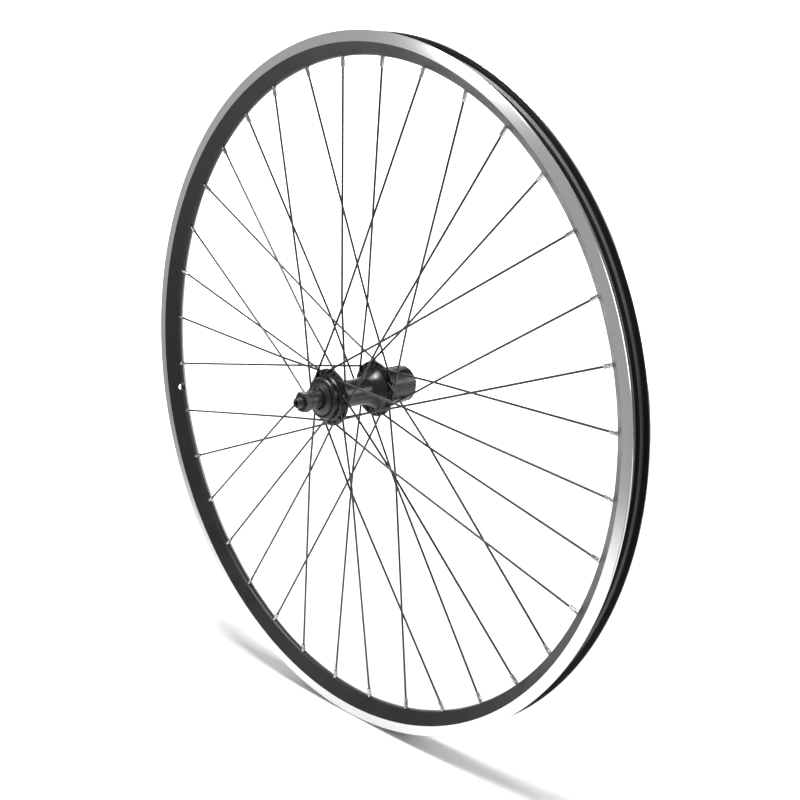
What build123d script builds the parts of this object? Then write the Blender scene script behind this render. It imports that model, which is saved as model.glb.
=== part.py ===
from build123d import *
import math
import os

os.makedirs("parts", exist_ok=True)

# Rear wheel with freehub. Millimetres. Origin at the wheel centre, midway between the locknut faces.
# +Y runs along the axle towards the freehub, +Z is up, and +X lies in the plane of the rim.
# Angles are measured about the axle from +X towards +Z.

# Rim, for tyres with a 622 mm bead seat
bead_seat_radius = 311.0
rim_outer_radius = 317.0
rim_width = 23.0
track_inner_radius = 307.6
well_floor_radius = 307.2
rim_nose_radius = 5.2
rim_inner_radius = 296.6
nose_wall = 1.4
spoke_count = 36
valve_angle = 187.94
valve_hole_diameter = 8.5
access_hole_diameter = 8.0

# Hub spacing
locknut_spacing = 130.0
axle_length = 141.0
axle_radius = 5.0
axle_end_radius = 4.8
skewer_bore_radius = 2.6
left_flange_y = -33.0
right_flange_y = 22.0
flange_radius = 26.0
spoke_circle_radius = 23.0
flange_half_thickness = 1.7
flange_edge_taper = 1.3
flange_taper_start_radius = 20.5

# Spokes and nipples
spoke_radius = 1.0
spoke_hole_radius = 1.3
lace_angle = 60.0
elbow_radius = 1.8
outer_elbow_offset = 2.5
inner_elbow_offset = 2.85
crossing_gap = 0.1
nipple_seat_radius = 297.5
nipple_shank_length = 9.6
nipple_square_length = 6.0
nipple_square = 3.3
nipple_body_radius = 2.0
nipple_head_radius = 3.0

# Bearings
hub_ball_radius = 3.175
hub_ball_circle = 9.8
hub_ball_count = 9
hub_race_radius = 3.2
left_ball_y = -40.3
right_ball_y = 51.0
driver_ball_radius = 1.5875
driver_ball_circle = 13.2
driver_ball_count = 25
driver_race_radius = 1.62
driver_inner_ball_y = 25.8
driver_outer_ball_y = 43.5

# Freehub driver and ratchet
driver_radius = 17.4
driver_start_y = 24.6
driver_end_y = 59.2
spline_depth = 1.4
lockring_bore_radius = 15.1
ratchet_teeth = 24
ratchet_tip_radius = 13.6
ratchet_root_radius = 14.6
pawl_length = 8.0
pawl_y = 33.0
pawl_pivot_radius = 1.5
pawl_pivot_distance = 11.3
pawl_pivot_setback = 3.0
pawl_lift = 9.0
tooth_lead_angle = 1.9
pawl_spring_circle = 12.3
pawl_spring_wire = 0.35


def turned(points):
    """Solid of revolution about the axle from (radius, y) corner points."""
    face = make_face(Polyline(*points, close=True))
    return revolve(face, axis=Axis.Y)


def ring_tube(circle_radius, y, section_radius):
    """Round-section ring about the axle."""
    face = Pos(circle_radius, y) * Circle(section_radius)
    return revolve(face, axis=Axis.Y)


def at_angle(shape, degrees):
    """Turn a shape about the axle, from +X towards +Z."""
    return Rot(0, -degrees, 0) * shape


def polar(radius, degrees, y):
    a = math.radians(degrees)
    return Vector(radius * math.cos(a), y, radius * math.sin(a))


def save(name, solids):
    """Write one node. Several loose solids stay separate inside it."""
    solids = list(solids)
    for solid in solids:
        if not solid.is_valid:
            print("not valid:", name)
    shape = solids[0] if len(solids) == 1 else Compound(children=[Compound(s.wrapped) for s in solids])
    export_step(shape, "parts/" + name + ".step")


def solids_of(shape):
    found = shape.solids()
    return list(found)


# Rim: a double-wall extrusion rolled into a hoop
half = rim_width / 2
nose_centre = rim_inner_radius + rim_nose_radius
wall_top = (track_inner_radius - 0.2, half - 0.3)
reach = math.hypot(wall_top[0] - nose_centre, wall_top[1])
lean = math.atan2(wall_top[0] - nose_centre, wall_top[1]) + math.asin(rim_nose_radius / reach)


def nose_tangent(radius):
    """Point where the straight lower wall meets the rounded nose."""
    return (nose_centre - radius * math.cos(lean), radius * math.sin(lean))


def rim_outline():
    outer_tangent = nose_tangent(rim_nose_radius)
    upper = [
        (wall_top[0], wall_top[1]),
        (track_inner_radius, half),
        (rim_outer_radius - 0.5, half),
        (rim_outer_radius, half - 0.5),
        (rim_outer_radius, half - 1.7),
        (rim_outer_radius - 0.7, half - 2.3),
        (rim_outer_radius - 1.9, half - 2.3),
        (rim_outer_radius - 3.0, half - 1.8),
        (bead_seat_radius + 0.6, half - 1.8),
        (bead_seat_radius, half - 2.4),
        (bead_seat_radius, 6.4),
        (bead_seat_radius - 0.5, 5.9),
        (well_floor_radius + 0.6, 5.0),
        (well_floor_radius, 4.3),
    ]
    mirrored = [(r, -y) for r, y in reversed(upper)]
    path = [Line(outer_tangent, upper[0])]
    path += [Line(a, b) for a, b in zip(upper, upper[1:])]
    path += [Line(upper[-1], mirrored[0])]
    path += [Line(a, b) for a, b in zip(mirrored, mirrored[1:])]
    lower = (outer_tangent[0], -outer_tangent[1])
    path += [Line(mirrored[-1], lower)]
    path += [ThreePointArc(lower, (rim_inner_radius, 0), outer_tangent)]
    return make_face(Wire(path))


def rim_cavity():
    inner_tangent = nose_tangent(rim_nose_radius - nose_wall)
    slope = (math.sin(lean), math.cos(lean))
    run = (half - 2.0 - inner_tangent[1]) / slope[1]
    corner = (inner_tangent[0] + run * slope[0], half - 2.0)
    upper = [
        corner,
        (bead_seat_radius - 1.5, half - 2.0),
        (bead_seat_radius - 1.5, 7.4),
        (well_floor_radius - 1.4, 5.7),
    ]
    mirrored = [(r, -y) for r, y in reversed(upper)]
    lower = (inner_tangent[0], -inner_tangent[1])
    path = [Line(inner_tangent, upper[0])]
    path += [Line(a, b) for a, b in zip(upper, upper[1:])]
    path += [Line(upper[-1], mirrored[0])]
    path += [Line(a, b) for a, b in zip(mirrored, mirrored[1:])]
    path += [Line(mirrored[-1], lower)]
    path += [ThreePointArc(lower, (rim_inner_radius + nose_wall, 0), inner_tangent)]
    return make_face(Wire(path))


# Lacing: 36 spokes, three-cross, alternate spokes to alternate flanges.
# side is -1 for the left flange and 1 for the right. turn is the way the spoke leans.
# outer is True where the spoke lies on the flange's outboard face.
spoke_sets = [
    {"name": "left_outer", "step": 0, "side": -1, "turn": 1, "outer": True},
    {"name": "right_inner", "step": 1, "side": 1, "turn": 1, "outer": False},
    {"name": "left_inner", "step": 2, "side": -1, "turn": -1, "outer": False},
    {"name": "right_outer", "step": 3, "side": 1, "turn": -1, "outer": True},
]


def spoke_points(kit):
    """Nipple seat, outermost crossing and elbow corner of one spoke, with its seat at angle 0."""
    flange_y = left_flange_y if kit["side"] < 0 else right_flange_y
    seat = polar(nipple_seat_radius, 0, 0)
    hub_angle = kit["turn"] * lace_angle
    hole = polar(spoke_circle_radius, hub_angle, flange_y)
    # in the plane of the wheel, a spoke meets its partner 10 degrees from its own seat
    meet = math.radians(kit["turn"] * 180 / (spoke_count / 2))
    away = Vector(-math.sin(meet), 0, math.cos(meet))
    share = seat.dot(away) / (seat.dot(away) - hole.dot(away))
    mid = seat + (hole - seat) * share
    out = kit["side"] if kit["outer"] else -kit["side"]
    offset = outer_elbow_offset if kit["outer"] else inner_elbow_offset
    corner = Vector(hole.X, flange_y + out * offset, hole.Z)
    crossing = Vector(mid.X, mid.Y - out * (spoke_radius + crossing_gap / 2), mid.Z)
    return seat, crossing, corner, out


def rounded_wire(points, radii):
    """Polyline with each inner corner rounded to its own radius."""
    edges = []
    start = points[0]
    for i in range(1, len(points) - 1):
        before = (points[i - 1] - points[i]).normalized()
        after = (points[i + 1] - points[i]).normalized()
        inside = math.acos(max(-1.0, min(1.0, before.dot(after))))
        back = radii[i - 1] / math.tan(inside / 2)
        a = points[i] + before * back
        b = points[i] + after * back
        bisector = (before + after).normalized()
        middle = points[i] + bisector * (radii[i - 1] / math.sin(inside / 2) - radii[i - 1])
        edges.append(Edge.make_line(start, a))
        edges.append(Edge.make_three_point_arc(a, middle, b))
        start = b
    edges.append(Edge.make_line(start, points[-1]))
    return Wire(edges)


def make_spoke(kit):
    seat, crossing, corner, out = spoke_points(kit)
    flange_y = left_flange_y if kit["side"] < 0 else right_flange_y
    outward = (seat - crossing).normalized()
    top = seat + outward * 0.6
    if kit["outer"]:
        # head rests on the flat inboard face
        head_y = flange_y - out * (flange_half_thickness + 0.05)
    else:
        # head rests on the tapered outboard face
        taper = (spoke_circle_radius - flange_taper_start_radius) / (flange_radius - flange_taper_start_radius)
        head_y = flange_y - out * (flange_half_thickness - taper * flange_edge_taper + 0.1)
    head = Vector(corner.X, head_y, corner.Z)
    wire = rounded_wire([top, crossing, corner, head], [60.0, elbow_radius])
    profile = Plane(origin=top, z_dir=-outward) * Circle(spoke_radius)
    body = sweep(profile, path=wire)
    seat_plane = Plane(origin=head, x_dir=(1, 0, 0), z_dir=(0, -out, 0))
    cone = Solid.make_cone(spoke_radius, 1.9, 0.55, seat_plane)
    cap_plane = Plane(origin=head + Vector(0, -out * 0.55, 0), x_dir=(1, 0, 0), z_dir=(0, -out, 0))
    cap = Solid.make_cone(1.9, 1.3, 0.6, cap_plane)
    return body + cone + cap


def nipple_plane(kit):
    seat, crossing, corner, out = spoke_points(kit)
    return Plane(origin=seat, z_dir=(seat - crossing).normalized())


def make_nipple(kit):
    """Slotted head inside the rim, round neck through the bed, squared shank below it."""
    shank = Pos(0, 0, -nipple_shank_length / 2) * Cylinder(nipple_body_radius, nipple_shank_length)
    square_z = -nipple_shank_length + nipple_square_length / 2
    square = Pos(0, 0, square_z) * Box(nipple_square, nipple_square, nipple_square_length)
    envelope = Pos(0, 0, square_z) * Cylinder(4.0, nipple_square_length)
    shank = shank - (envelope - square)
    head = Pos(0, 0, 0.5) * Cone(nipple_body_radius, nipple_head_radius, 1.0)
    head = head + Pos(0, 0, 1.7) * Cylinder(nipple_head_radius, 1.4)
    slot = Pos(0, 0, 2.1) * Box(8.0, 0.9, 0.7)
    bore = Cylinder(spoke_radius + 0.02, 40)
    blank = shank + head - slot - bore
    return nipple_plane(kit) * blank


def nipple_cut(kit):
    """Drilled hole and countersink for one nipple."""
    hole = Pos(0, 0, -2.0) * Cylinder(nipple_body_radius + 0.15, 8.0)
    sink = Pos(0, 0, 0.5) * Cone(nipple_body_radius + 0.03, nipple_head_radius + 0.03, 1.0)
    pocket = Pos(0, 0, 3.0) * Cylinder(nipple_head_radius + 0.03, 4.0)
    return nipple_plane(kit) * (hole + sink + pocket)


spoke_pitch = 360 / spoke_count
first_seat_angle = valve_angle + spoke_pitch / 2
set_angles = {}
for kit in spoke_sets:
    set_angles[kit["name"]] = [first_seat_angle + spoke_pitch * (kit["step"] + 4 * i) for i in range(9)]

rim = revolve(rim_outline(), axis=Axis.Y) - revolve(rim_cavity(), axis=Axis.Y)
drills = []
access = Pos(well_floor_radius, 0, 0) * (Rot(0, 90, 0) * Cylinder(access_hole_diameter / 2, 8.0))
for kit in spoke_sets:
    for angle in set_angles[kit["name"]]:
        drills.append(at_angle(nipple_cut(kit), angle))
        drills.append(at_angle(access, angle))
valve = Pos(rim_inner_radius + 6, 0, 0) * (Rot(0, 90, 0) * Cylinder(valve_hole_diameter / 2, 30.0))
drills.append(at_angle(valve, valve_angle))
rim = rim - drills
save("rim", solids_of(rim))

for kit in spoke_sets:
    spoke = solids_of(make_spoke(kit))[0]
    save("spokes_" + kit["name"], [at_angle(spoke, a) for a in set_angles[kit["name"]]])

for side, word in ((-1, "left"), (1, "right")):
    nipples = []
    for kit in spoke_sets:
        if kit["side"] == side:
            nipple = solids_of(make_nipple(kit))[0]
            nipples += [at_angle(nipple, a) for a in set_angles[kit["name"]]]
    save("nipples_" + word, nipples)


# Hub shell: one turned piece with both flanges
def flange_hole_angles(side):
    first = first_seat_angle if side < 0 else first_seat_angle + spoke_pitch
    return [first + lace_angle + 2 * spoke_pitch * i for i in range(spoke_count // 2)]


left_out = left_flange_y - flange_half_thickness
left_in = left_flange_y + flange_half_thickness
right_in = right_flange_y - flange_half_thickness
right_out = right_flange_y + flange_half_thickness
shell_profile = [
    (15.0, -42.8),
    (17.2, -42.8),
    (18.5, -42.2),
    (19.0, -40.9),
    (19.0, -36.6),
    (19.5, -35.3),
    (flange_taper_start_radius, left_out),
    (flange_radius - 0.4, left_out + flange_edge_taper * 0.93),
    (flange_radius, left_out + flange_edge_taper + 0.3),
    (flange_radius, left_in - 0.4),
    (flange_radius - 0.4, left_in),
    (18.0, left_in),
    (15.6, left_in + 2.0),
    (13.6, left_in + 5.0),
    (12.8, left_in + 9.0),
    (12.6, left_in + 13.0),
    (12.6, 5.0),
    (13.0, 8.5),
    (14.4, 12.5),
    (16.6, 16.5),
    (19.6, right_in),
    (flange_radius - 0.4, right_in),
    (flange_radius, right_in + 0.4),
    (flange_radius, right_out - flange_edge_taper - 0.3),
    (flange_radius - 0.4, right_out - flange_edge_taper * 0.93),
    (flange_taper_start_radius, right_out),
    (12.0, right_out),
    (12.0, 13.0),
    (7.0, 13.0),
    (7.0, 3.0),
    (8.5, 1.5),
    (8.5, -35.5),
    (14.0, -35.5),
    (14.0, -41.0),
    (15.0, -41.0),
]
shell = turned(shell_profile)
holes = []
for side, flange_y in ((-1, left_flange_y), (1, right_flange_y)):
    plane = Plane(origin=(spoke_circle_radius, flange_y, 0), x_dir=(1, 0, 0), z_dir=(0, 1, 0))
    hole = plane * Cylinder(spoke_hole_radius, 8.0)
    inboard = -side * flange_half_thickness
    outboard = side * (flange_half_thickness - flange_edge_taper * 0.45)
    sink_in = Pos(0, 0, inboard) * Cylinder(spoke_hole_radius + 0.4, 0.5)
    sink_out = Pos(0, 0, outboard) * Cylinder(spoke_hole_radius + 0.4, 1.1)
    cut = hole + plane * sink_in + plane * sink_out
    holes += [at_angle(cut, a) for a in flange_hole_angles(side)]
shell = shell - holes
save("hub_shell", solids_of(shell))

# Left bearing: pressed cup, nine balls, threaded cone and pressed dust cap
left_race = ring_tube(hub_ball_circle, left_ball_y, hub_race_radius)
cup_left = turned([
    (9.0, -35.5),
    (14.0, -35.5),
    (14.0, -42.0),
    (13.0, -42.0),
    (13.0, left_ball_y),
    (9.0, left_ball_y),
])
save("cup_left", solids_of(cup_left - left_race))

dustcap = turned([
    (9.55, -45.3),
    (10.2, -45.3),
    (15.0, -43.3),
    (15.0, -41.0),
    (14.3, -41.0),
    (14.3, -42.3),
    (9.55, -44.4),
])
save("dustcap_left", solids_of(dustcap))


def cone_blank(outer_end, race_y, out):
    """Bearing cone. out is -1 on the left and 1 on the right."""
    points = [
        (axle_radius, outer_end),
        (7.9, outer_end),
        (8.3, outer_end - out * 0.4),
        (8.3, race_y + out * 4.4),
        (8.0, race_y + out * 1.6),
        (6.5, race_y + out * 1.0),
        (6.2, race_y - out * 0.9),
        (axle_radius, race_y - out * 0.9),
    ]
    return turned(points)


cone_left = cone_blank(-50.0, left_ball_y, -1) - left_race
save("cone_left", solids_of(cone_left))


def ball_row(circle_radius, y, ball_radius, count):
    ball = Pos(circle_radius, y, 0) * Sphere(ball_radius)
    return [at_angle(ball, 360 / count * i) for i in range(count)]


save("balls_left", ball_row(hub_ball_circle, left_ball_y, hub_ball_radius, hub_ball_count))
save("balls_right", ball_row(hub_ball_circle, right_ball_y, hub_ball_radius, hub_ball_count))
save("balls_driver_inner",
     ball_row(driver_ball_circle, driver_inner_ball_y, driver_ball_radius, driver_ball_count))
save("balls_driver_outer",
     ball_row(driver_ball_circle, driver_outer_ball_y, driver_ball_radius, driver_ball_count))

# Axle and the parts clamped on it. Its ends are turned down to drop into a 10 mm slot.
half_axle = axle_length / 2
half_locknuts = locknut_spacing / 2
axle = turned([
    (skewer_bore_radius, -half_axle),
    (axle_end_radius - 0.7, -half_axle),
    (axle_end_radius, -half_axle + 0.7),
    (axle_end_radius, -half_locknuts),
    (axle_radius, -half_locknuts),
    (axle_radius, half_locknuts),
    (axle_end_radius, half_locknuts),
    (axle_end_radius, half_axle - 0.7),
    (axle_end_radius - 0.7, half_axle),
    (skewer_bore_radius, half_axle),
])
save("axle", solids_of(axle))

spacer_left = turned([
    (axle_radius, -57.6),
    (7.9, -57.6),
    (8.3, -57.2),
    (8.3, -50.5),
    (7.9, -50.0),
    (axle_radius, -50.0),
])
save("spacer_left", solids_of(spacer_left))


def lock_washer(near_y, far_y):
    """Keyed washer: a flat on the bore sits on the axle's keyway side."""
    return turned([(axle_radius, near_y), (8.8, near_y), (8.8, far_y), (axle_radius, far_y)])


save("lockwasher_left", solids_of(lock_washer(-57.6, -58.8)))
save("lockwasher_right", solids_of(lock_washer(57.5, 58.7)))


def locknut(out, inner_y):
    """Hex locknut, 17 mm across flats, with a round collar and a serrated outer face."""
    face_y = locknut_spacing / 2
    hex_inner = face_y - 4.8
    hex_plane = Plane(origin=(0, out * hex_inner, 0), x_dir=(1, 0, 0), z_dir=(0, out, 0))
    corner = 17.0 / 2 / math.cos(math.pi / 6)
    prism = extrude(hex_plane * RegularPolygon(corner, 6), face_y - hex_inner)
    trim = turned([
        (0, out * (hex_inner - 1)),
        (corner + 1, out * (hex_inner - 1)),
        (corner + 1, out * (face_y - 1.0)),
        (8.1, out * face_y),
        (0, out * face_y),
    ])
    prism = prism & trim
    collar = turned([
        (0, out * inner_y),
        (8.5, out * inner_y),
        (8.5, out * (hex_inner + 0.1)),
        (0, out * (hex_inner + 0.1)),
    ])
    bore_plane = Plane(origin=(0, 0, 0), x_dir=(1, 0, 0), z_dir=(0, 1, 0))
    bore = bore_plane * Cylinder(axle_radius, 200)
    nut = prism + collar - bore
    teeth = []
    groove = Plane(origin=(0, out * face_y, 0), x_dir=(1, 0, 0), z_dir=(0, 1, 0)) * (
        Pos(6.6, 0, 0) * Box(1.8, 0.5, 0.5))
    for i in range(24):
        teeth.append(at_angle(groove, 15 * i))
    return nut - teeth


save("locknut_left", solids_of(locknut(-1, 58.8)))
save("locknut_right", solids_of(locknut(1, 58.7)))

# Freehub: a core bolted into the hub shell, a cup for the right-hand hub bearing, and the driver
right_race = ring_tube(hub_ball_circle, right_ball_y, hub_race_radius)
inner_race = ring_tube(driver_ball_circle, driver_inner_ball_y, driver_race_radius)
outer_race = ring_tube(driver_ball_circle, driver_outer_ball_y, driver_race_radius)

core = turned([
    (7.1, 13.0),
    (12.0, 13.0),
    (12.0, 23.8),
    (12.3, 24.0),
    (12.3, 27.4),
    (12.6, 27.6),
    (12.6, 38.6),
    (11.6, 38.6),
    (11.6, 41.2),
    (10.6, 41.2),
    (10.6, 46.3),
    (8.6, 46.3),
    (8.6, 24.0),
    (7.1, 24.0),
])
core = core - inner_race

bolt = turned([
    (5.6, 3.2),
    (6.7, 3.2),
    (7.0, 3.6),
    (7.0, 24.0),
    (8.5, 24.0),
    (8.5, 31.0),
    (7.2, 31.0),
    (7.2, 25.5),
    (5.6, 25.5),
])
hex_socket = Plane(origin=(0, 24.6, 0), x_dir=(1, 0, 0), z_dir=(0, 1, 0)) * RegularPolygon(6.6, 6)
bolt = bolt - extrude(hex_socket, 6.0)
save("freehub_bolt", solids_of(bolt))

cup_right = turned([
    (10.6, 41.2),
    (12.3, 41.2),
    (12.3, 46.2),
    (13.9, 47.0),
    (13.9, 56.0),
    (13.0, 56.0),
    (13.0, right_ball_y),
    (8.8, right_ball_y),
    (8.8, 46.4),
    (10.6, 46.4),
])
save("freehub_cup", solids_of(cup_right - right_race - outer_race))

seal_right = turned([(8.6, 54.6), (12.95, 54.6), (12.95, 55.8), (9.2, 55.8)])
save("seal_right", solids_of(seal_right))

cone_right = cone_blank(57.5, right_ball_y, 1) - right_race
save("cone_right", solids_of(cone_right))

freehub_seal = turned([(14.4, 23.72), (16.8, 23.72), (16.8, 24.2), (14.8, 24.45)])
save("freehub_seal", solids_of(freehub_seal))


# Pawls sit in pockets milled in the core, a half turn apart. They are drawn folded, clear of the
# ratchet teeth, and each rises about its round heel into a tooth space.
pawl_tip = (3.75, 12.85)


def pawl_plane(angle):
    """Local x runs round the core towards the pawl's tip, and local y runs outward."""
    along = polar(1, angle - 90, 0)
    return Plane(origin=(0, pawl_y, 0), x_dir=(along.X, 0, along.Z), z_dir=(0, -1, 0))


def pawl_section():
    """Side view of a folded pawl."""
    heel_x = -pawl_pivot_setback
    heel_y = pawl_pivot_distance
    body = make_face(Polyline(
        (heel_x - 0.2, heel_y - 1.45),
        (3.2, 11.15),
        pawl_tip,
        (1.6, 12.75),
        (heel_x + 0.2, heel_y + 1.45),
        close=True,
    ))
    return body + Pos(heel_x, heel_y) * Circle(pawl_pivot_radius)


def pocket_section():
    """Room for the pawl: a round socket for the heel and a sloping floor, open outwards."""
    room = make_face(Polyline(
        (-3.2, 9.7),
        (3.3, 10.95),
        (4.3, 11.2),
        (4.6, 13.6),
        (-3.0, 13.6),
        close=True,
    ))
    return room + Pos(-pawl_pivot_setback, pawl_pivot_distance) * Circle(pawl_pivot_radius + 0.05)


pawl_angles = (90.0, 270.0)
pocket_cuts = []
pawls = []
spring_slot = revolve(Pos(pawl_spring_circle + 1.0, pawl_y) * Rectangle(2.9, 1.1), axis=Axis.Y)
for angle in pawl_angles:
    plane = pawl_plane(angle)
    folded = extrude(plane * pawl_section(), pawl_length / 2, both=True)
    pawls.append(folded - spring_slot)
    pocket_cuts.append(extrude(plane * pocket_section(), pawl_length / 2 + 0.15, both=True))
spring_groove = revolve(Pos(pawl_spring_circle + 0.5, pawl_y) * Rectangle(2.0, 1.1), axis=Axis.Y)
core = core - pocket_cuts - spring_groove
save("freehub_core", solids_of(core))
for word, pawl in zip(("a", "b"), pawls):
    save("pawl_" + word, solids_of(pawl))

spring = ring_tube(pawl_spring_circle, pawl_y, pawl_spring_wire)
gap_box = Pos(pawl_spring_circle, pawl_y, 0) * Box(3.0, 3.0, 3.0)
save("pawl_spring", solids_of(spring - gap_box))

# Driver: the splined sleeve that carries the sprockets, with a ratchet ring inside
driver = turned([
    (14.1, driver_start_y),
    (17.6, driver_start_y),
    (17.9, driver_start_y + 0.3),
    (17.9, driver_start_y + 1.7),
    (driver_radius, driver_start_y + 1.9),
    (driver_radius, driver_end_y - 2.0),
    (16.3, driver_end_y - 1.2),
    (16.0, driver_end_y),
    (lockring_bore_radius + 0.3, driver_end_y),
    (lockring_bore_radius, driver_end_y - 0.4),
    (lockring_bore_radius, 50.0),
    (14.2, 49.4),
    (14.2, 38.4),
    (ratchet_tip_radius, 38.2),
    (ratchet_tip_radius, 27.8),
    (14.1, 27.6),
])
driver = driver - inner_race - outer_race


def ratchet_notch(angle):
    """Space between two ratchet teeth: a steep face and a long ramp."""
    pitch = 360 / ratchet_teeth
    lead = polar(ratchet_root_radius, angle, 0)
    foot = polar(ratchet_tip_radius - 0.3, angle - 0.4, 0)
    ramp = polar(ratchet_tip_radius - 0.3, angle + pitch * 0.86, 0)
    crest = polar(ratchet_root_radius, angle + pitch * 0.35, 0)
    plane = Plane(origin=(0, 33.0, 0), x_dir=(1, 0, 0), z_dir=(0, -1, 0))
    corners = [(v.X, v.Z) for v in (lead, crest, ramp, foot)]
    return extrude(plane * make_face(Polyline(*corners, close=True)), 5.2, both=True)


lift = math.radians(pawl_lift)
reach_x = pawl_tip[0] + pawl_pivot_setback
reach_y = pawl_tip[1] - pawl_pivot_distance
raised_x = reach_x * math.cos(lift) - reach_y * math.sin(lift) - pawl_pivot_setback
raised_y = reach_x * math.sin(lift) + reach_y * math.cos(lift) + pawl_pivot_distance
raised_tip_angle = pawl_angles[0] - math.degrees(math.atan2(raised_x, raised_y))
notches = []
for i in range(ratchet_teeth):
    notches.append(ratchet_notch(raised_tip_angle - tooth_lead_angle + 360 / ratchet_teeth * i))
driver = driver - notches

# nine spline grooves, one of them narrower so that sprockets fit one way round
spline_start = driver_start_y + 1.9
spline_length = driver_end_y - 1.0 - spline_start
grooves = []
for i in range(9):
    wide = 14.0 if i else 8.0
    plane = Plane(origin=(0, spline_start, 0), x_dir=(1, 0, 0), z_dir=(0, 1, 0))
    corners = []
    floor = driver_radius - spline_depth
    for radius, angle in ((floor, -wide / 2), (floor, wide / 2), (19.0, wide / 2 + 1), (19.0, -wide / 2 - 1)):
        corners.append((radius * math.cos(math.radians(angle)), radius * math.sin(math.radians(angle))))
    groove = extrude(plane * make_face(Polyline(*corners, close=True)), spline_length)
    grooves.append(at_angle(groove, 40 * i + 12.0))
driver = driver - grooves
save("driver", solids_of(driver))
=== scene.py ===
import math

import bmesh
import bpy
from mathutils import Matrix, Vector


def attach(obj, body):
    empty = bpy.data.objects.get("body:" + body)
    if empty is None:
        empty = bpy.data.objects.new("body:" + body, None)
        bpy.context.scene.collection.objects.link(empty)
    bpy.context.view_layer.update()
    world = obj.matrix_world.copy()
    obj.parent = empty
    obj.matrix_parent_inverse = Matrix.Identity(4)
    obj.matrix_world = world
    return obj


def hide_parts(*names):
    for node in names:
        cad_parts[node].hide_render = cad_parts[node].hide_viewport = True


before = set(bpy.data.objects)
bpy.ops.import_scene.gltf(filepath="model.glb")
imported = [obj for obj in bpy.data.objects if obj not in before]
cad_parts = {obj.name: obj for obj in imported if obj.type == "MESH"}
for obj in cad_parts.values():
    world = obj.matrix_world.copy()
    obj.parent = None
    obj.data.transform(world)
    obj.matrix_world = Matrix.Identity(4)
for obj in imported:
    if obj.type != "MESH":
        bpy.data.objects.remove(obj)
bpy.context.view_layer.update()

# ---------------------------------------------------------------------------------------------
# Camera. Stands off the left side of the wheel, a little above the axle, and looks slightly down.
camera_turn = math.radians(47.39)
camera_rise = math.radians(12.6)
camera_back = Vector((
    math.sin(camera_turn) * math.cos(camera_rise),
    -math.cos(camera_turn) * math.cos(camera_rise),
    math.sin(camera_rise),
))
camera_right = Vector((math.cos(camera_turn), math.sin(camera_turn), 0.0))
camera_up = camera_back.cross(camera_right)
camera_data = bpy.data.cameras.new("camera")
camera_data.sensor_width = 36.0
camera_data.lens = 54.19
camera_data.clip_end = 100.0
camera = bpy.data.objects.new("camera", camera_data)
bpy.context.scene.collection.objects.link(camera)
camera_distance, camera_aside, camera_below = 1.10246, 0.03929, 0.00743
camera_place = camera_back * camera_distance + camera_right * camera_aside - camera_up * camera_below
camera_axes = Matrix((camera_right, camera_up, camera_back)).transposed()
camera.matrix_world = Matrix.Translation(camera_place) @ camera_axes.to_4x4()
bpy.context.scene.camera = camera

# ---------------------------------------------------------------------------------------------
# Rim. A black anodised aluminium box extrusion, rolled into a hoop for a 622 mm bead seat.
# The brake tracks are turned bright after anodising. The spoke bed and the tyre bed are drilled.
mm = 0.001


def soften(corners, radius, steps=3):
    """Rounds every corner of a closed outline, as a broken edge."""
    rounded = []
    count = len(corners)
    for i in range(count):
        here = Vector(corners[i])
        before = Vector(corners[i - 1]) - here
        after = Vector(corners[(i + 1) % count]) - here
        inside = before.angle(after)
        if inside > math.radians(170):
            rounded.append(tuple(here))
            continue
        reach = min(radius / math.tan(inside / 2), before.length * 0.45, after.length * 0.45)
        r = reach * math.tan(inside / 2)
        middle = here + (before.normalized() + after.normalized()).normalized() * (r / math.sin(inside / 2))
        start = here + before.normalized() * reach - middle
        end = here + after.normalized() * reach - middle
        for k in range(steps + 1):
            toward_arc = start.lerp(end, k / steps).normalized() * r
            rounded.append(tuple(middle + toward_arc))
    return rounded


def turn(bm, outline, steps, finish_of=None):
    """Sweeps a closed (radius, y) outline in millimetres round the axle."""
    rings = []
    for i in range(steps):
        a = 2 * math.pi * i / steps
        ring = []
        for radius, y in outline:
            place = (radius * math.cos(a) * mm, y * mm, radius * math.sin(a) * mm)
            ring.append(bm.verts.new(place))
        rings.append(ring)
    count = len(outline)
    for i in range(steps):
        near = rings[i]
        far = rings[(i + 1) % steps]
        for k in range(count):
            n = (k + 1) % count
            face = bm.faces.new((near[k], far[k], far[n], near[n]))
            if finish_of:
                face.material_index = finish_of(outline[k], outline[n])


def make_piece(name, bm, smooth_angle=35.0):
    """Turns a bmesh into a smooth-shaded object whose hard edges stay hard."""
    data = bpy.data.meshes.new(name)
    bmesh.ops.recalc_face_normals(bm, faces=bm.faces)
    bm.to_mesh(data)
    bm.free()
    data.shade_smooth()
    data.set_sharp_from_angle(angle=math.radians(smooth_angle))
    piece = bpy.data.objects.new(name, data)
    bpy.context.scene.collection.objects.link(piece)
    return piece


def drill(piece, cutter, smooth_angle=35.0):
    """Cuts the cutter's solids out of the piece and drops the cutter."""
    cut = piece.modifiers.new("drill", "BOOLEAN")
    cut.operation = "DIFFERENCE"
    cut.solver = "EXACT"
    cut.object = cutter
    bpy.context.view_layer.update()
    cleaned = bpy.data.meshes.new_from_object(piece.evaluated_get(bpy.context.evaluated_depsgraph_get()))
    piece.modifiers.clear()
    old = piece.data
    piece.data = cleaned
    cleaned.name = piece.name
    bpy.data.meshes.remove(old)
    cutter_data = cutter.data
    bpy.data.objects.remove(cutter)
    bpy.data.meshes.remove(cutter_data)
    cleaned.shade_smooth()
    cleaned.set_sharp_from_angle(angle=math.radians(smooth_angle))


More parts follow.
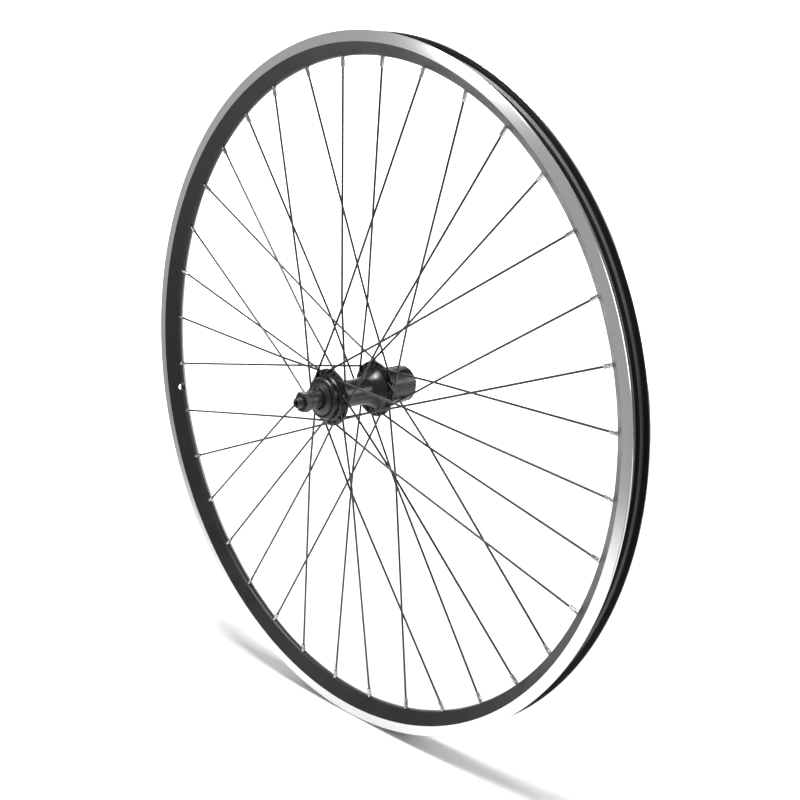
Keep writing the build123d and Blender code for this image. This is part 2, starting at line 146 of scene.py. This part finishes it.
def rod(bm, start, end, radius, sides=24):
    """Closed round bar between two points, in millimetres."""
    along = Vector(end) - Vector(start)
    turn_to = Vector((0, 0, 1)).rotation_difference(along.normalized()).to_matrix().to_4x4()
    middle = (Vector(start) + Vector(end)) / 2
    place = Matrix.Translation(middle * mm) @ turn_to
    bmesh.ops.create_cone(bm, cap_ends=True, segments=sides, radius1=radius * mm, radius2=radius * mm,
                          depth=along.length * mm, matrix=place)


def round_the_axle(degrees):
    """Turns from +X towards +Z about the axle."""
    return Matrix.Rotation(-math.radians(degrees), 4, "Y")


valve_angle = 187.94
spoke_count = 36
spoke_pitch = 360.0 / spoke_count
seat_radius = 297.5
nose_radius = 5.2
nose_wall = 1.4
rim_inner = 296.6
half_width = 11.5
access_hole_radius = 4.0
nipple_hole_radius = 2.25
valve_hole_radius = 4.25
nose_middle = rim_inner + nose_radius
wall_top = (307.4, 11.2)
wall_reach = math.hypot(wall_top[0] - nose_middle, wall_top[1])
wall_lean = math.atan2(wall_top[0] - nose_middle, wall_top[1]) + math.asin(nose_radius / wall_reach)


def nose_arc(radius, steps):
    """Rounded bottom of the extrusion, from the right-hand wall to the left-hand wall."""
    points = []
    for k in range(steps + 1):
        a = wall_lean + (math.pi - 2 * wall_lean) * k / steps
        points.append((nose_middle - radius * math.sin(a), radius * math.cos(a)))
    return points


upper_right = [
    (307.4, 11.2),
    (307.6, 11.5),
    (316.5, 11.5),
    (317.0, 11.0),
    (317.0, 9.9),
    (316.3, 9.2),
    (315.1, 9.2),
    (314.0, 9.7),
    (311.6, 9.7),
    (311.0, 9.1),
    (311.0, 6.4),
    (310.5, 5.9),
    (307.8, 5.0),
    (307.2, 4.3),
]
upper_left = [(r, -y) for r, y in reversed(upper_right)]
rim_outline = soften(nose_arc(nose_radius, 18)[::-1] + upper_right + upper_left, 0.3)

chamber_right = [(308.3, 9.5), (309.5, 9.5), (309.5, 7.4), (305.8, 5.7)]
chamber_left = [(r, -y) for r, y in reversed(chamber_right)]
chamber_outline = nose_arc(nose_radius - nose_wall, 10)[::-1] + chamber_right + chamber_left


# The third finish is painted light: a lighter grey copy of the black anodising for the tyre channel's outward
# faces.
black_finish, turned_finish, channel_painted_light_finish = 0, 1, 2


def rim_finish(a, b):
    """Finish between two outline points: brake tracks and flange tips are turned bright, and the channel's
    outward faces get a lighter grey copy of the black anodising, which is painted light.
    """
    nearest = min(abs(a[1]), abs(b[1]))
    if nearest > half_width - 0.35 and max(a[0], b[0]) > 307.7:
        return turned_finish
    if min(a[0], b[0]) > 316.5:
        return turned_finish
    faces_out = abs(a[0] - b[0]) < abs(a[1] - b[1])
    # The channel's outward faces: painted light, a lighter grey copy of the black anodising standing in for
    # light inside the tyre channel.
    if min(a[0], b[0]) > 305.0 and nearest < wall_top[1] and faces_out:
        return channel_painted_light_finish
    return black_finish


rim_mesh = bmesh.new()
turn(rim_mesh, rim_outline, 432, rim_finish)
turn(rim_mesh, chamber_outline, 216)
rim = make_piece("rim_hoop", rim_mesh, 30.0)

rim_drills = bmesh.new()
first_hole_angle = valve_angle + spoke_pitch / 2
for k in range(spoke_count):
    over = round_the_axle(first_hole_angle + spoke_pitch * k)
    rod(rim_drills, over @ Vector((304.0, 0, 0)), over @ Vector((312.0, 0, 0)), access_hole_radius, 40)
    rod(rim_drills, over @ Vector((294.0, 0, 0)), over @ Vector((300.5, 0, 0)), nipple_hole_radius, 24)
over = round_the_axle(valve_angle)
rod(rim_drills, over @ Vector((290.0, 0, 0)), over @ Vector((316.0, 0, 0)), valve_hole_radius, 48)
rim_cutter = make_piece("rim_cutter", rim_drills)
drill(rim, rim_cutter, 30.0)


def material(name, colour, metal, rough, **sockets):
    """A principled finish with its constant values on the shader itself."""
    made = bpy.data.materials.new(name)
    made.use_nodes = True
    shader = made.node_tree.nodes["Principled BSDF"]
    shader.inputs["Base Color"].default_value = (*colour, 1.0)
    shader.inputs["Metallic"].default_value = metal
    shader.inputs["Roughness"].default_value = rough
    for key, value in sockets.items():
        shader.inputs[key.replace("_", " ")].default_value = value
    return made, made.node_tree, shader


def node(tree, kind, links=(), **settings):
    """Adds a shader node. Settings are properties, and links are (socket, source) pairs."""
    made = tree.nodes.new(kind)
    for key, value in settings.items():
        setattr(made, key, value)
    for socket, source in links:
        if isinstance(source, bpy.types.NodeSocket):
            tree.links.new(source, made.inputs[socket])
        else:
            made.inputs[socket].default_value = source
    return made


def speckle(tree, size_mm, detail=4.0):
    """Fine grain fixed to the piece. size_mm is the grain's own size."""
    place = node(tree, "ShaderNodeTexCoord")
    return node(tree, "ShaderNodeTexNoise", [
        ("Vector", place.outputs["Object"]),
        ("Scale", 1000.0 / size_mm),
        ("Detail", detail),
        ("Roughness", 0.6),
    ])


def span(tree, source, low, high, from_low=0.0, from_high=1.0):
    """Maps a value from one range to another."""
    return node(tree, "ShaderNodeMapRange", [
        ("Value", source),
        ("From Min", from_low),
        ("From Max", from_high),
        ("To Min", low),
        ("To Max", high),
    ]).outputs["Result"]


def blend_colour(tree, share, first, second):
    """Mixes two colours by a value from 0 to 1."""
    mixed = node(tree, "ShaderNodeMix", data_type="RGBA")
    tree.links.new(share, mixed.inputs["Factor"])
    mixed.inputs[6].default_value = (*first, 1.0)
    mixed.inputs[7].default_value = (*second, 1.0)
    return mixed.outputs[2]


def bump(tree, shader, height, depth_mm):
    """Surface relief of a real depth."""
    raised = node(tree, "ShaderNodeBump", [
        ("Height", height),
        ("Distance", depth_mm * mm),
        ("Strength", 1.0),
    ])
    tree.links.new(raised.outputs["Normal"], shader.inputs["Normal"])


def radius_of(tree):
    """Distance from the axle, in metres."""
    place = node(tree, "ShaderNodeTexCoord")
    apart = node(tree, "ShaderNodeSeparateXYZ", [("Vector", place.outputs["Object"])])
    flat = node(tree, "ShaderNodeCombineXYZ", [("X", apart.outputs["X"]), ("Z", apart.outputs["Z"])])
    reach = node(tree, "ShaderNodeVectorMath", [("Vector", flat.outputs["Vector"])], operation="LENGTH")
    return reach.outputs["Value"]


def turned_lines(tree, pitch_mm):
    """Fine concentric tool lines round the axle."""
    radius = radius_of(tree)
    along = node(tree, "ShaderNodeCombineXYZ", [("X", radius)])
    return node(tree, "ShaderNodeTexNoise", [
        ("Vector", along.outputs["Vector"]),
        ("Scale", 1000.0 / pitch_mm),
        ("Detail", 2.0),
        ("Roughness", 0.7),
    ]).outputs["Fac"]


rim_black, tree, shader = material("rim_black_anodised", (0.020, 0.020, 0.022), 0.35, 0.42)
grain = speckle(tree, 0.35)
cloud = speckle(tree, 30.0, 2.0)
tree.links.new(blend_colour(tree, cloud.outputs["Fac"], (0.012, 0.012, 0.014), (0.020, 0.020, 0.022)),
               shader.inputs["Base Color"])
tree.links.new(span(tree, cloud.outputs["Fac"], 0.36, 0.48, 0.3, 0.7), shader.inputs["Roughness"])
bump(tree, shader, grain.outputs["Fac"], 0.004)

track_metal, tree, shader = material(
    "rim_brake_track", (0.8, 0.8, 0.81), 1.0, 0.29, Anisotropic=0.95, Anisotropic_Rotation=0.25)
lines = turned_lines(tree, 0.12)
tree.links.new(blend_colour(tree, lines, (0.72, 0.72, 0.73), (0.86, 0.86, 0.87)), shader.inputs["Base Color"])
tree.links.new(span(tree, lines, 0.26, 0.32, 0.3, 0.7), shader.inputs["Roughness"])
round_tangent = node(tree, "ShaderNodeTangent", direction_type="RADIAL", axis="Y")
tree.links.new(round_tangent.outputs["Tangent"], shader.inputs["Tangent"])
bump(tree, shader, lines, 0.004)

# Painted light in the tyre channel: the same black anodising as the rest of the rim, made lighter grey on the
# channel's outward faces where light falls into it.
channel_painted_light_material, tree, shader = material("rim_channel_painted_light", (0.12, 0.12, 0.124), 0.6, 0.42)
cloud = speckle(tree, 9.0, 3.0)
tree.links.new(blend_colour(tree, cloud.outputs["Fac"], (0.20, 0.20, 0.204), (0.28, 0.28, 0.284)),
               shader.inputs["Base Color"])
tree.links.new(span(tree, cloud.outputs["Fac"], 0.38, 0.52, 0.3, 0.7), shader.inputs["Roughness"])
bump(tree, shader, speckle(tree, 0.35).outputs["Fac"], 0.004)

for finish in (rim_black, track_metal, channel_painted_light_material):
    rim.data.materials.append(finish)
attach(rim, "wheel")
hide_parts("rim")

# ---------------------------------------------------------------------------------------------
# Spokes. Black stainless wire, 2.0 mm, laced three-cross. Each is headed, bent at the elbow and
# screwed into its nipple. Where two meet at the outermost crossing they deflect each other.
spoke_wire = 1.0
flange_at = {-1: -33.0, 1: 22.0}
hole_circle = 23.0
lace_angle = 60
crossing_angle = 10
crossing_offset = 1.05
outer_elbow, inner_elbow = 2.5, 2.85
outer_head_gap, inner_head_gap = 1.75, 1.21
crossing_bend, elbow_bend = 60.0, 1.8
thread_past_seat = 0.6
spokes_per_set = 9

# distance past the start of the head, and radius there
head_profile = ((0.05, 1.05), (0.30, 1.45), (0.55, 1.9), (0.75, 1.95), (1.0, 1.75), (1.15, 1.3))

# name: (first hole, side of the hub, lean, whether the elbow is outside the flange)
lacing = {
    "spokes_left_outer": (0, -1, 1, True),
    "spokes_right_inner": (1, 1, 1, False),
    "spokes_left_inner": (2, -1, -1, False),
    "spokes_right_outer": (3, 1, -1, True),
}


def spoke_line(side, lean, outer):
    """Nipple seat, outermost crossing, elbow corner and head of a spoke seated at angle 0."""
    flange = flange_at[side]
    out = side if outer else -side
    seat = Vector((seat_radius, 0, 0))
    hub_angle = math.radians(lace_angle * lean)
    hole = Vector((hole_circle * math.cos(hub_angle), flange, hole_circle * math.sin(hub_angle)))
    meet = math.radians(crossing_angle * lean)
    across = Vector((-math.sin(meet), 0, math.cos(meet)))
    share = seat.dot(across) / (seat.dot(across) - hole.dot(across))
    crossing = seat.lerp(hole, share) - Vector((0, out * crossing_offset, 0))
    corner = Vector((hole.x, flange + out * (outer_elbow if outer else inner_elbow), hole.z))
    head_gap = outer_head_gap if outer else inner_head_gap
    head = Vector((hole.x, flange - out * head_gap, hole.z))
    return seat, crossing, corner, head


def bent_path(points, bends, steps):
    """Points along a line whose inner corners are bent to real radii."""
    path = [points[0]]
    for i in range(1, len(points) - 1):
        before = (points[i - 1] - points[i]).normalized()
        after = (points[i + 1] - points[i]).normalized()
        inside = before.angle(after)
        radius = bends[i - 1]
        middle = points[i] + (before + after).normalized() * (radius / math.sin(inside / 2))
        reach = radius / math.tan(inside / 2)
        start = points[i] + before * reach - middle
        end = points[i] + after * reach - middle
        for k in range(steps[i - 1] + 1):
            path.append(middle + start.lerp(end, k / steps[i - 1]).normalized() * radius)
    path.append(points[-1])
    return path


def skin(bm, rings):
    """Joins each ring of corners to the next with a band of faces."""
    for near, far in zip(rings, rings[1:]):
        for s in range(len(near)):
            n = (s + 1) % len(near)
            bm.faces.new((near[s], near[n], far[n], far[s]))


def tube(bm, path, radii, sides):
    """Closed tube along a path, with its own radius at every point. Millimetres."""
    rings = []
    normal = None
    for i, here in enumerate(path):
        ahead = path[min(i + 1, len(path) - 1)] - path[max(i - 1, 0)]
        ahead.normalize()
        if normal is None:
            normal = ahead.orthogonal().normalized()
        normal = (normal - ahead * normal.dot(ahead)).normalized()
        other = ahead.cross(normal)
        ring = []
        for s in range(sides):
            a = 2 * math.pi * s / sides
            ring.append(bm.verts.new((here + (normal * math.cos(a) + other * math.sin(a)) * radii[i]) * mm))
        rings.append(ring)
    skin(bm, rings)
    bm.faces.new(rings[0][::-1])
    bm.faces.new(rings[-1])


spoke_black, tree, shader = material("spoke_black_stainless", (0.060, 0.060, 0.063), 0.9, 0.34)
grain = speckle(tree, 0.4)
cloud = speckle(tree, 12.0, 2.0)
tree.links.new(blend_colour(tree, cloud.outputs["Fac"], (0.050, 0.050, 0.053), (0.085, 0.085, 0.088)),
               shader.inputs["Base Color"])
tree.links.new(span(tree, cloud.outputs["Fac"], 0.28, 0.42, 0.3, 0.7), shader.inputs["Roughness"])
bump(tree, shader, grain.outputs["Fac"], 0.003)

for name, (step, side, lean, outer) in lacing.items():
    seat, crossing, corner, head = spoke_line(side, lean, outer)
    outward = (seat - crossing).normalized()
    thread_end = seat + outward * thread_past_seat
    path = bent_path([thread_end, crossing, corner, head], [crossing_bend, elbow_bend], [4, 10])
    radii = [spoke_wire] * len(path)
    into = (head - corner).normalized()
    for along, radius in head_profile:
        path.append(head + into * along)
        radii.append(radius)
    spokes = bmesh.new()
    for k in range(spokes_per_set):
        one = bmesh.new()
        tube(one, path, radii, 20)
        over = round_the_axle(first_hole_angle + spoke_pitch * (step + 4 * k))
        bmesh.ops.transform(one, matrix=over, verts=one.verts)
        held = bpy.data.meshes.new("one_spoke")
        one.to_mesh(held)
        one.free()
        spokes.from_mesh(held)
        bpy.data.meshes.remove(held)
    piece = make_piece(name + "_wire", spokes, 40.0)
    piece.data.materials.append(spoke_black)
    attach(piece, "wheel")
    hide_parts(name)

# ---------------------------------------------------------------------------------------------
# Nipples. Nickel-plated brass, 12 mm long. Each sits head-up in the spoke bed: a slotted head
# inside the rim, a round neck in the hole, and a squared shank below it for the spoke key.
nickel, tree, shader = material("nipple_nickel_plate", (0.74, 0.73, 0.71), 1.0, 0.20)
grain = speckle(tree, 0.5)
cloud = speckle(tree, 3.0, 2.0)
tree.links.new(span(tree, cloud.outputs["Fac"], 0.15, 0.30, 0.3, 0.7), shader.inputs["Roughness"])
tree.links.new(blend_colour(tree, cloud.outputs["Fac"], (0.40, 0.395, 0.38), (0.54, 0.53, 0.51)),
               shader.inputs["Base Color"])
bump(tree, shader, grain.outputs["Fac"], 0.003)


def square_reach(angle, half, corner):
    """Distance from the centre to a square bar whose corners are turned off round."""
    flat = half / max(abs(math.cos(angle)), abs(math.sin(angle)))
    return min(flat, corner)


nipple_sides = 40

# height along the nipple, size, and 1 where the section is square
nipple_sections = [
    (-9.6, 1.25, 1), (-9.45, 1.50, 1), (-9.2, 1.65, 1), (-3.75, 1.65, 1), (-3.5, 1.95, 0), (-3.35, 2.0, 0),
    (0.0, 2.0, 0), (0.9, 2.9, 0), (1.05, 3.0, 0), (1.9, 3.0, 0), (2.25, 2.75, 0), (2.4, 2.3, 0),
]
blank = bmesh.new()
rings = []
for height, size, square in nipple_sections:
    ring = []
    for s in range(nipple_sides):
        a = 2 * math.pi * (s + 0.5) / nipple_sides
        reach = square_reach(a, size, size * 1.20) if square else size
        ring.append(blank.verts.new((reach * math.cos(a) * mm, reach * math.sin(a) * mm, height * mm)))
    rings.append(ring)
skin(blank, rings)
blank.faces.new(rings[0][::-1])
blank.faces.new(rings[-1])
blank_piece = make_piece("nipple_blank", blank, 35.0)
slot_cut = bmesh.new()
slot_width = 0.9
slot_height = 2.2
wire_bore_radius = 1.03
slot_box = Matrix.Diagonal((8 * mm, slot_width * mm, slot_width * mm, 1))
bmesh.ops.create_cube(slot_cut, size=1.0, matrix=Matrix.Translation((0, 0, slot_height * mm)) @ slot_box)
rod(slot_cut, (0, 0, -12), (0, 0, 0.9), wire_bore_radius, 24)
slot_piece = make_piece("slot_cut", slot_cut)
drill(blank_piece, slot_piece, 35.0)

for side, name in ((-1, "nipples_left"), (1, "nipples_right")):
    nipples = bmesh.new()
    for step, spoke_side, lean, outer in lacing.values():
        if spoke_side != side:
            continue
        seat, crossing, _, _ = spoke_line(side, lean, outer)
        outward = (seat - crossing).normalized()
        stand = Matrix.Translation(seat * mm) @ outward.to_track_quat("Z", "Y").to_matrix().to_4x4()
        for k in range(spokes_per_set):
            copy = blank_piece.data.copy()
            wrench_turn = Matrix.Rotation(math.radians((37 * (k + step)) % 90), 4, "Z")
            over = round_the_axle(first_hole_angle + spoke_pitch * (step + 4 * k))
            copy.transform(over @ stand @ wrench_turn)
            nipples.from_mesh(copy)
            bpy.data.meshes.remove(copy)
    piece = make_piece(name + "_plated", nipples, 35.0)
    piece.data.materials.append(nickel)
    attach(piece, "wheel")
    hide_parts(name)
bpy.data.objects.remove(blank_piece)

# ---------------------------------------------------------------------------------------------
# Hub shell. Turned from aluminium in one piece with both flanges, drilled for the spokes,
# polished and anodised black.
shell_outline = [
    (15.0, -42.8), (17.2, -42.8), (18.5, -42.2), (19.0, -40.9), (19.0, -36.6), (19.5, -35.3), (20.5, -34.7),
    (25.6, -33.49), (26.0, -33.1), (26.0, -31.7), (25.6, -31.3), (18.0, -31.3), (15.6, -29.3), (13.6, -26.3),
    (12.8, -22.3), (12.6, -18.3), (12.6, 5.0), (13.0, 8.5), (14.4, 12.5), (16.6, 16.5), (19.6, 20.3),
    (25.6, 20.3), (26.0, 20.7), (26.0, 22.1), (25.6, 22.49), (20.5, 23.7), (12.0, 23.7), (12.0, 13.0),
    (7.0, 13.0), (7.0, 3.0), (8.5, 1.5), (8.5, -35.5), (14.0, -35.5), (14.0, -41.0), (15.0, -41.0),
]
shell_mesh = bmesh.new()
turn(shell_mesh, soften(shell_outline, 1.2, 4), 240)
shell = make_piece("hub_shell_turned", shell_mesh, 30.0)
spoke_hole_radius = 1.3
flange_hole_pitch = 2 * spoke_pitch
along_axle = Matrix.Rotation(math.pi / 2, 4, "X")
shell_drills = bmesh.new()
for side, first in ((-1, first_hole_angle), (1, first_hole_angle + spoke_pitch)):
    hole_place = Matrix.Translation((hole_circle * mm, flange_at[side] * mm, 0))
    for k in range(spoke_count // 2):
        over = round_the_axle(first + lace_angle + flange_hole_pitch * k)
        bmesh.ops.create_cone(
            shell_drills,
            cap_ends=True,
            segments=28,
            radius1=spoke_hole_radius * mm,
            radius2=spoke_hole_radius * mm,
            depth=8 * mm,
            matrix=over @ hole_place @ along_axle,
        )
shell_cutter = make_piece("shell_cutter", shell_drills)
drill(shell, shell_cutter, 30.0)

hub_black, tree, shader = material("hub_black_anodised", (0.060, 0.060, 0.063), 0.9, 0.26)
cloud = speckle(tree, 14.0, 2.0)
tree.links.new(blend_colour(tree, cloud.outputs["Fac"], (0.036, 0.036, 0.038), (0.058, 0.058, 0.060)),
               shader.inputs["Base Color"])
tree.links.new(span(tree, cloud.outputs["Fac"], 0.22, 0.34, 0.3, 0.7), shader.inputs["Roughness"])
bump(tree, shader, speckle(tree, 0.3).outputs["Fac"], 0.003)
shell.data.materials.append(hub_black)
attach(shell, "wheel")
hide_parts("hub_shell")

# ---------------------------------------------------------------------------------------------
# Left dust cap. Pressed from thin black-plated steel. It is pushed into the end of the hub shell,
# over the left bearing, and leaves a narrow gap round the cone.
cap_outline = [
    (9.55, -45.3), (10.2, -45.3), (15.0, -43.3), (15.0, -41.0), (14.3, -41.0), (14.3, -42.3), (9.55, -44.4),
]
cap_mesh = bmesh.new()
turn(cap_mesh, soften(cap_outline, 0.35, 3), 160)
cap = make_piece("dustcap_left_pressed", cap_mesh, 30.0)
cap_black, tree, shader = material("cap_black_plate", (0.060, 0.060, 0.063), 0.85, 0.33)
cloud = speckle(tree, 6.0, 2.0)
tree.links.new(span(tree, cloud.outputs["Fac"], 0.30, 0.44, 0.3, 0.7), shader.inputs["Roughness"])
bump(tree, shader, speckle(tree, 0.3).outputs["Fac"], 0.004)
cap.data.materials.append(cap_black)
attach(cap, "wheel")
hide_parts("dustcap_left")

# ---------------------------------------------------------------------------------------------
# Axle. A hollow M10 steel axle with a black oxide finish, bored right through for a skewer. A 1 mm
# thread is rolled on both ends, and the tips are turned down a little to enter the frame.
axle_steel, tree, shader = material("axle_black_oxide", (0.080, 0.080, 0.084), 0.85, 0.30)
cloud = speckle(tree, 5.0, 2.0)
tree.links.new(blend_colour(tree, cloud.outputs["Fac"], (0.054, 0.054, 0.056), (0.088, 0.088, 0.091)),
               shader.inputs["Base Color"])
tree.links.new(span(tree, cloud.outputs["Fac"], 0.26, 0.42, 0.3, 0.7), shader.inputs["Roughness"])
bump(tree, shader, speckle(tree, 0.3).outputs["Fac"], 0.004)

axle_mesh = bmesh.new()
axle_sides = 56
axle_radius = 5.0
axle_half_length = 70.5
thread_start = 58.0
thread_pitch = 1.0
thread_depth = 0.45
fade_length = 0.8
tip_chamfer = 0.6
tip_start = 65.0
tip_step = 0.2
stations = []
y = -axle_half_length
while y < -thread_start:
    stations.append(y)
    y += thread_pitch / 6
stations += [-57.9, 57.9]
y = thread_start
while y < axle_half_length:
    stations.append(y)
    y += thread_pitch / 6
stations.append(axle_half_length)


def thread_radius(y, share):
    """Radius of the rolled thread, faded in from the plain middle and chamfered at the tips."""
    wave = abs(((y / thread_pitch + share) % 1.0) * 2 - 1)
    fade = max(0.0, min(1.0, (axle_half_length - abs(y)) / fade_length))
    start_fade = max(0.0, min(1.0, (abs(y) - 57.9) / fade_length))
    depth = thread_depth * wave * start_fade
    turned_down = tip_step if abs(y) > tip_start else 0.0
    return axle_radius - turned_down - depth * fade - tip_chamfer * (1 - fade)


def axle_ring(y, radii):
    """Ring of corners round the axle, with its own radius at every corner."""
    ring = []
    for s, r in enumerate(radii):
        a = 2 * math.pi * s / axle_sides
        ring.append(axle_mesh.verts.new((r * math.cos(a) * mm, y * mm, r * math.sin(a) * mm)))
    return ring


skewer_bore, bore_mouth, mouth_depth_y = 2.6, 3.0, 70.1
bore_rings = (
    (axle_half_length, bore_mouth),
    (mouth_depth_y, skewer_bore),
    (-mouth_depth_y, skewer_bore),
    (-axle_half_length, bore_mouth),
)
axle_rings = []
for y in stations:
    axle_rings.append(axle_ring(y, [thread_radius(y, s / axle_sides) for s in range(axle_sides)]))
for y, r in bore_rings:
    axle_rings.append(axle_ring(y, [r] * axle_sides))
skin(axle_mesh, axle_rings + axle_rings[:1])
axle = make_piece("axle_threaded", axle_mesh, 50.0)
axle.data.materials.append(axle_steel)
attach(axle, "axle")
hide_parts("axle")

# ---------------------------------------------------------------------------------------------
# Left spacer, lock washers, cones and locknuts. Turned steel with a black oxide finish. The cones
# and locknuts are screwed on the axle, and the spacer and washers are slid on between them.
hardware = {
    "spacer_left": [(5.0, -57.6), (8.3, -57.6), (8.3, -50.0), (5.0, -50.0)],
    "lockwasher_left": [(5.0, -58.8), (8.8, -58.8), (8.8, -57.62), (5.0, -57.62)],
    "lockwasher_right": [(5.0, 58.7), (8.8, 58.7), (8.8, 57.52), (5.0, 57.52)],
}
for name, outline in hardware.items():
    ring_mesh = bmesh.new()
    turn(ring_mesh, soften(outline, 0.3, 3), 120)
    piece = make_piece(name + "_ring", ring_mesh, 30.0)
    piece.data.materials.append(axle_steel)
    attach(piece, "axle")
    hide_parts(name)

for name in ("cone_left", "cone_right", "locknut_left", "locknut_right"):
    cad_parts[name].data.materials[0] = axle_steel

# ---------------------------------------------------------------------------------------------
# Freehub driver. Machined and hardened steel sleeve with nine spline grooves, dark phosphate
# finish, polished a little along the ridges by the sprockets.
driver_steel, tree, shader = material("driver_dark_steel", (0.07, 0.07, 0.074), 0.8, 0.36)
cloud = speckle(tree, 7.0, 3.0)
ridge = span(tree, radius_of(tree), 0.0, 1.0, 0.0171, 0.0174)
tree.links.new(blend_colour(tree, ridge, (0.028, 0.028, 0.030), (0.052, 0.052, 0.054)),
               shader.inputs["Base Color"])
tree.links.new(span(tree, cloud.outputs["Fac"], 0.30, 0.45, 0.3, 0.7), shader.inputs["Roughness"])
bump(tree, shader, speckle(tree, 0.3).outputs["Fac"], 0.004)
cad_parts["driver"].data.materials[0] = driver_steel

# ---------------------------------------------------------------------------------------------
# Bearings and ratchet. Ground and oiled steel races, core, bolt, pawls and pawl spring, pressed or
# screwed together inside the hub, with polished hardened balls between the races.
ground_steel, tree, shader = material("steel_ground", (0.42, 0.42, 0.43), 1.0, 0.28)
cloud = speckle(tree, 2.0, 3.0)
tree.links.new(span(tree, cloud.outputs["Fac"], 0.20, 0.38, 0.3, 0.7), shader.inputs["Roughness"])
bump(tree, shader, turned_lines(tree, 0.2), 0.002)
for name in ("cup_left", "freehub_core", "freehub_bolt", "freehub_cup", "pawl_a", "pawl_b", "pawl_spring"):
    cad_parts[name].data.materials[0] = ground_steel

ball_steel, tree, shader = material("steel_ball_polished", (0.62, 0.62, 0.64), 1.0, 0.08)
cloud = speckle(tree, 1.5, 2.0)
tree.links.new(span(tree, cloud.outputs["Fac"], 0.05, 0.12, 0.3, 0.7), shader.inputs["Roughness"])
for name in ("balls_left", "balls_right", "balls_driver_inner", "balls_driver_outer"):
    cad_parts[name].data.materials[0] = ball_steel

# ---------------------------------------------------------------------------------------------
# Seals. Black rubber rings, moulded. One is pressed into the freehub's cup round the cone, and the
# other closes the gap between the hub shell and the driver.
seal_black, tree, shader = material("seal_black_rubber", (0.018, 0.018, 0.018), 0.0, 0.7)
grain = speckle(tree, 0.8)
tree.links.new(span(tree, grain.outputs["Fac"], 0.6, 0.8, 0.3, 0.7), shader.inputs["Roughness"])
bump(tree, shader, speckle(tree, 0.2).outputs["Fac"], 0.01)
for name in ("seal_right", "freehub_seal"):
    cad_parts[name].data.materials[0] = seal_black

# ---------------------------------------------------------------------------------------------
# Studio. A pale paper sweep that lies under the wheel and curves up behind it, in a grey room with
# large soft lamps. The paper glows a little more with distance, so that it stays evenly pale.
sweep_front, sweep_flat, sweep_curve, sweep_height = -0.45, 2.2, 0.8, 2.6
sweep_right = 1.6
sweep_left_near, sweep_left_spread = -0.62, 0.38
glow_from, glow_full = 0.55, 1.5
floor_z = -0.3175
view_away = Vector((-math.sin(camera_turn), math.cos(camera_turn), 0.0))

sweep_line = [(sweep_front, 0.0), (0.0, 0.0), (sweep_flat, 0.0)]
curve_steps = 16
for step in range(1, curve_steps + 1):
    angle = math.radians(90 * step / curve_steps)
    sweep_line.append((sweep_flat + sweep_curve * math.sin(angle), sweep_curve * (1 - math.cos(angle))))
sweep_line.append((sweep_flat + sweep_curve, sweep_height))

floor_mesh = bmesh.new()
edges = []
for depth, height in sweep_line:
    middle = view_away * depth + Vector((0.0, 0.0, floor_z + height))
    sweep_left = sweep_left_near - sweep_left_spread * max(depth, 0.0)
    edges.append([floor_mesh.verts.new(middle + camera_right * side) for side in (sweep_left, sweep_right)])
for near, far in zip(edges, edges[1:]):
    floor_mesh.faces.new((near[0], near[1], far[1], far[0]))
floor_data = bpy.data.meshes.new("studio_floor")
floor_mesh.to_mesh(floor_data)
floor_mesh.free()
for face in floor_data.polygons:
    face.use_smooth = True
floor = bpy.data.objects.new("studio_floor", floor_data)
bpy.context.scene.collection.objects.link(floor)
paper, tree, shader = material("studio_paper", (0.90, 0.90, 0.90), 0.0, 0.9)
place = node(tree, "ShaderNodeTexCoord").outputs["Object"]
behind = node(tree, "ShaderNodeVectorMath", [(0, place), (1, view_away)])
behind.operation = "DOT_PRODUCT"
glow = span(tree, behind.outputs["Value"], 0.0, 1.0, glow_from, glow_full)
tree.links.new(glow, shader.inputs["Emission Strength"])
shader.inputs["Emission Color"].default_value = (1.0, 1.0, 1.0, 1.0)
floor.data.materials.append(paper)

world = bpy.data.worlds.new("studio_surround")
bpy.context.scene.world = world
world.use_nodes = True
surround = world.node_tree.nodes["Background"]
surround.inputs["Color"].default_value = (1.0, 1.0, 1.0, 1.0)
surround.inputs["Strength"].default_value = 0.42


def lamp(name, place, aim, width, height, power):
    """Large soft lamp aimed at a point."""
    light = bpy.data.lights.new(name, "AREA")
    light.shape = "RECTANGLE"
    light.size = width
    light.size_y = height
    light.energy = power
    made = bpy.data.objects.new(name, light)
    bpy.context.scene.collection.objects.link(made)
    toward = Vector(aim) - Vector(place)
    made.matrix_world = Matrix.Translation(place) @ toward.to_track_quat("-Z", "Y").to_matrix().to_4x4()
    made.visible_camera = False


lamp("overhead_softbox", (-0.1, -0.28, 2.4), (-0.05, 0.0, -0.3), 1.2, 0.8, 95.0)
lamp("strip_softbox", (-1.08, -1.54, 0.684), (0.14, 0.0, 0.27), 0.34, 0.3, 3.0)
lamp("side_softbox", (1.3, 1.2, 0.5), (0.2, 0.0, 0.0), 0.7, 0.9, 10.0)

bpy.context.scene.view_settings.view_transform = "Standard"
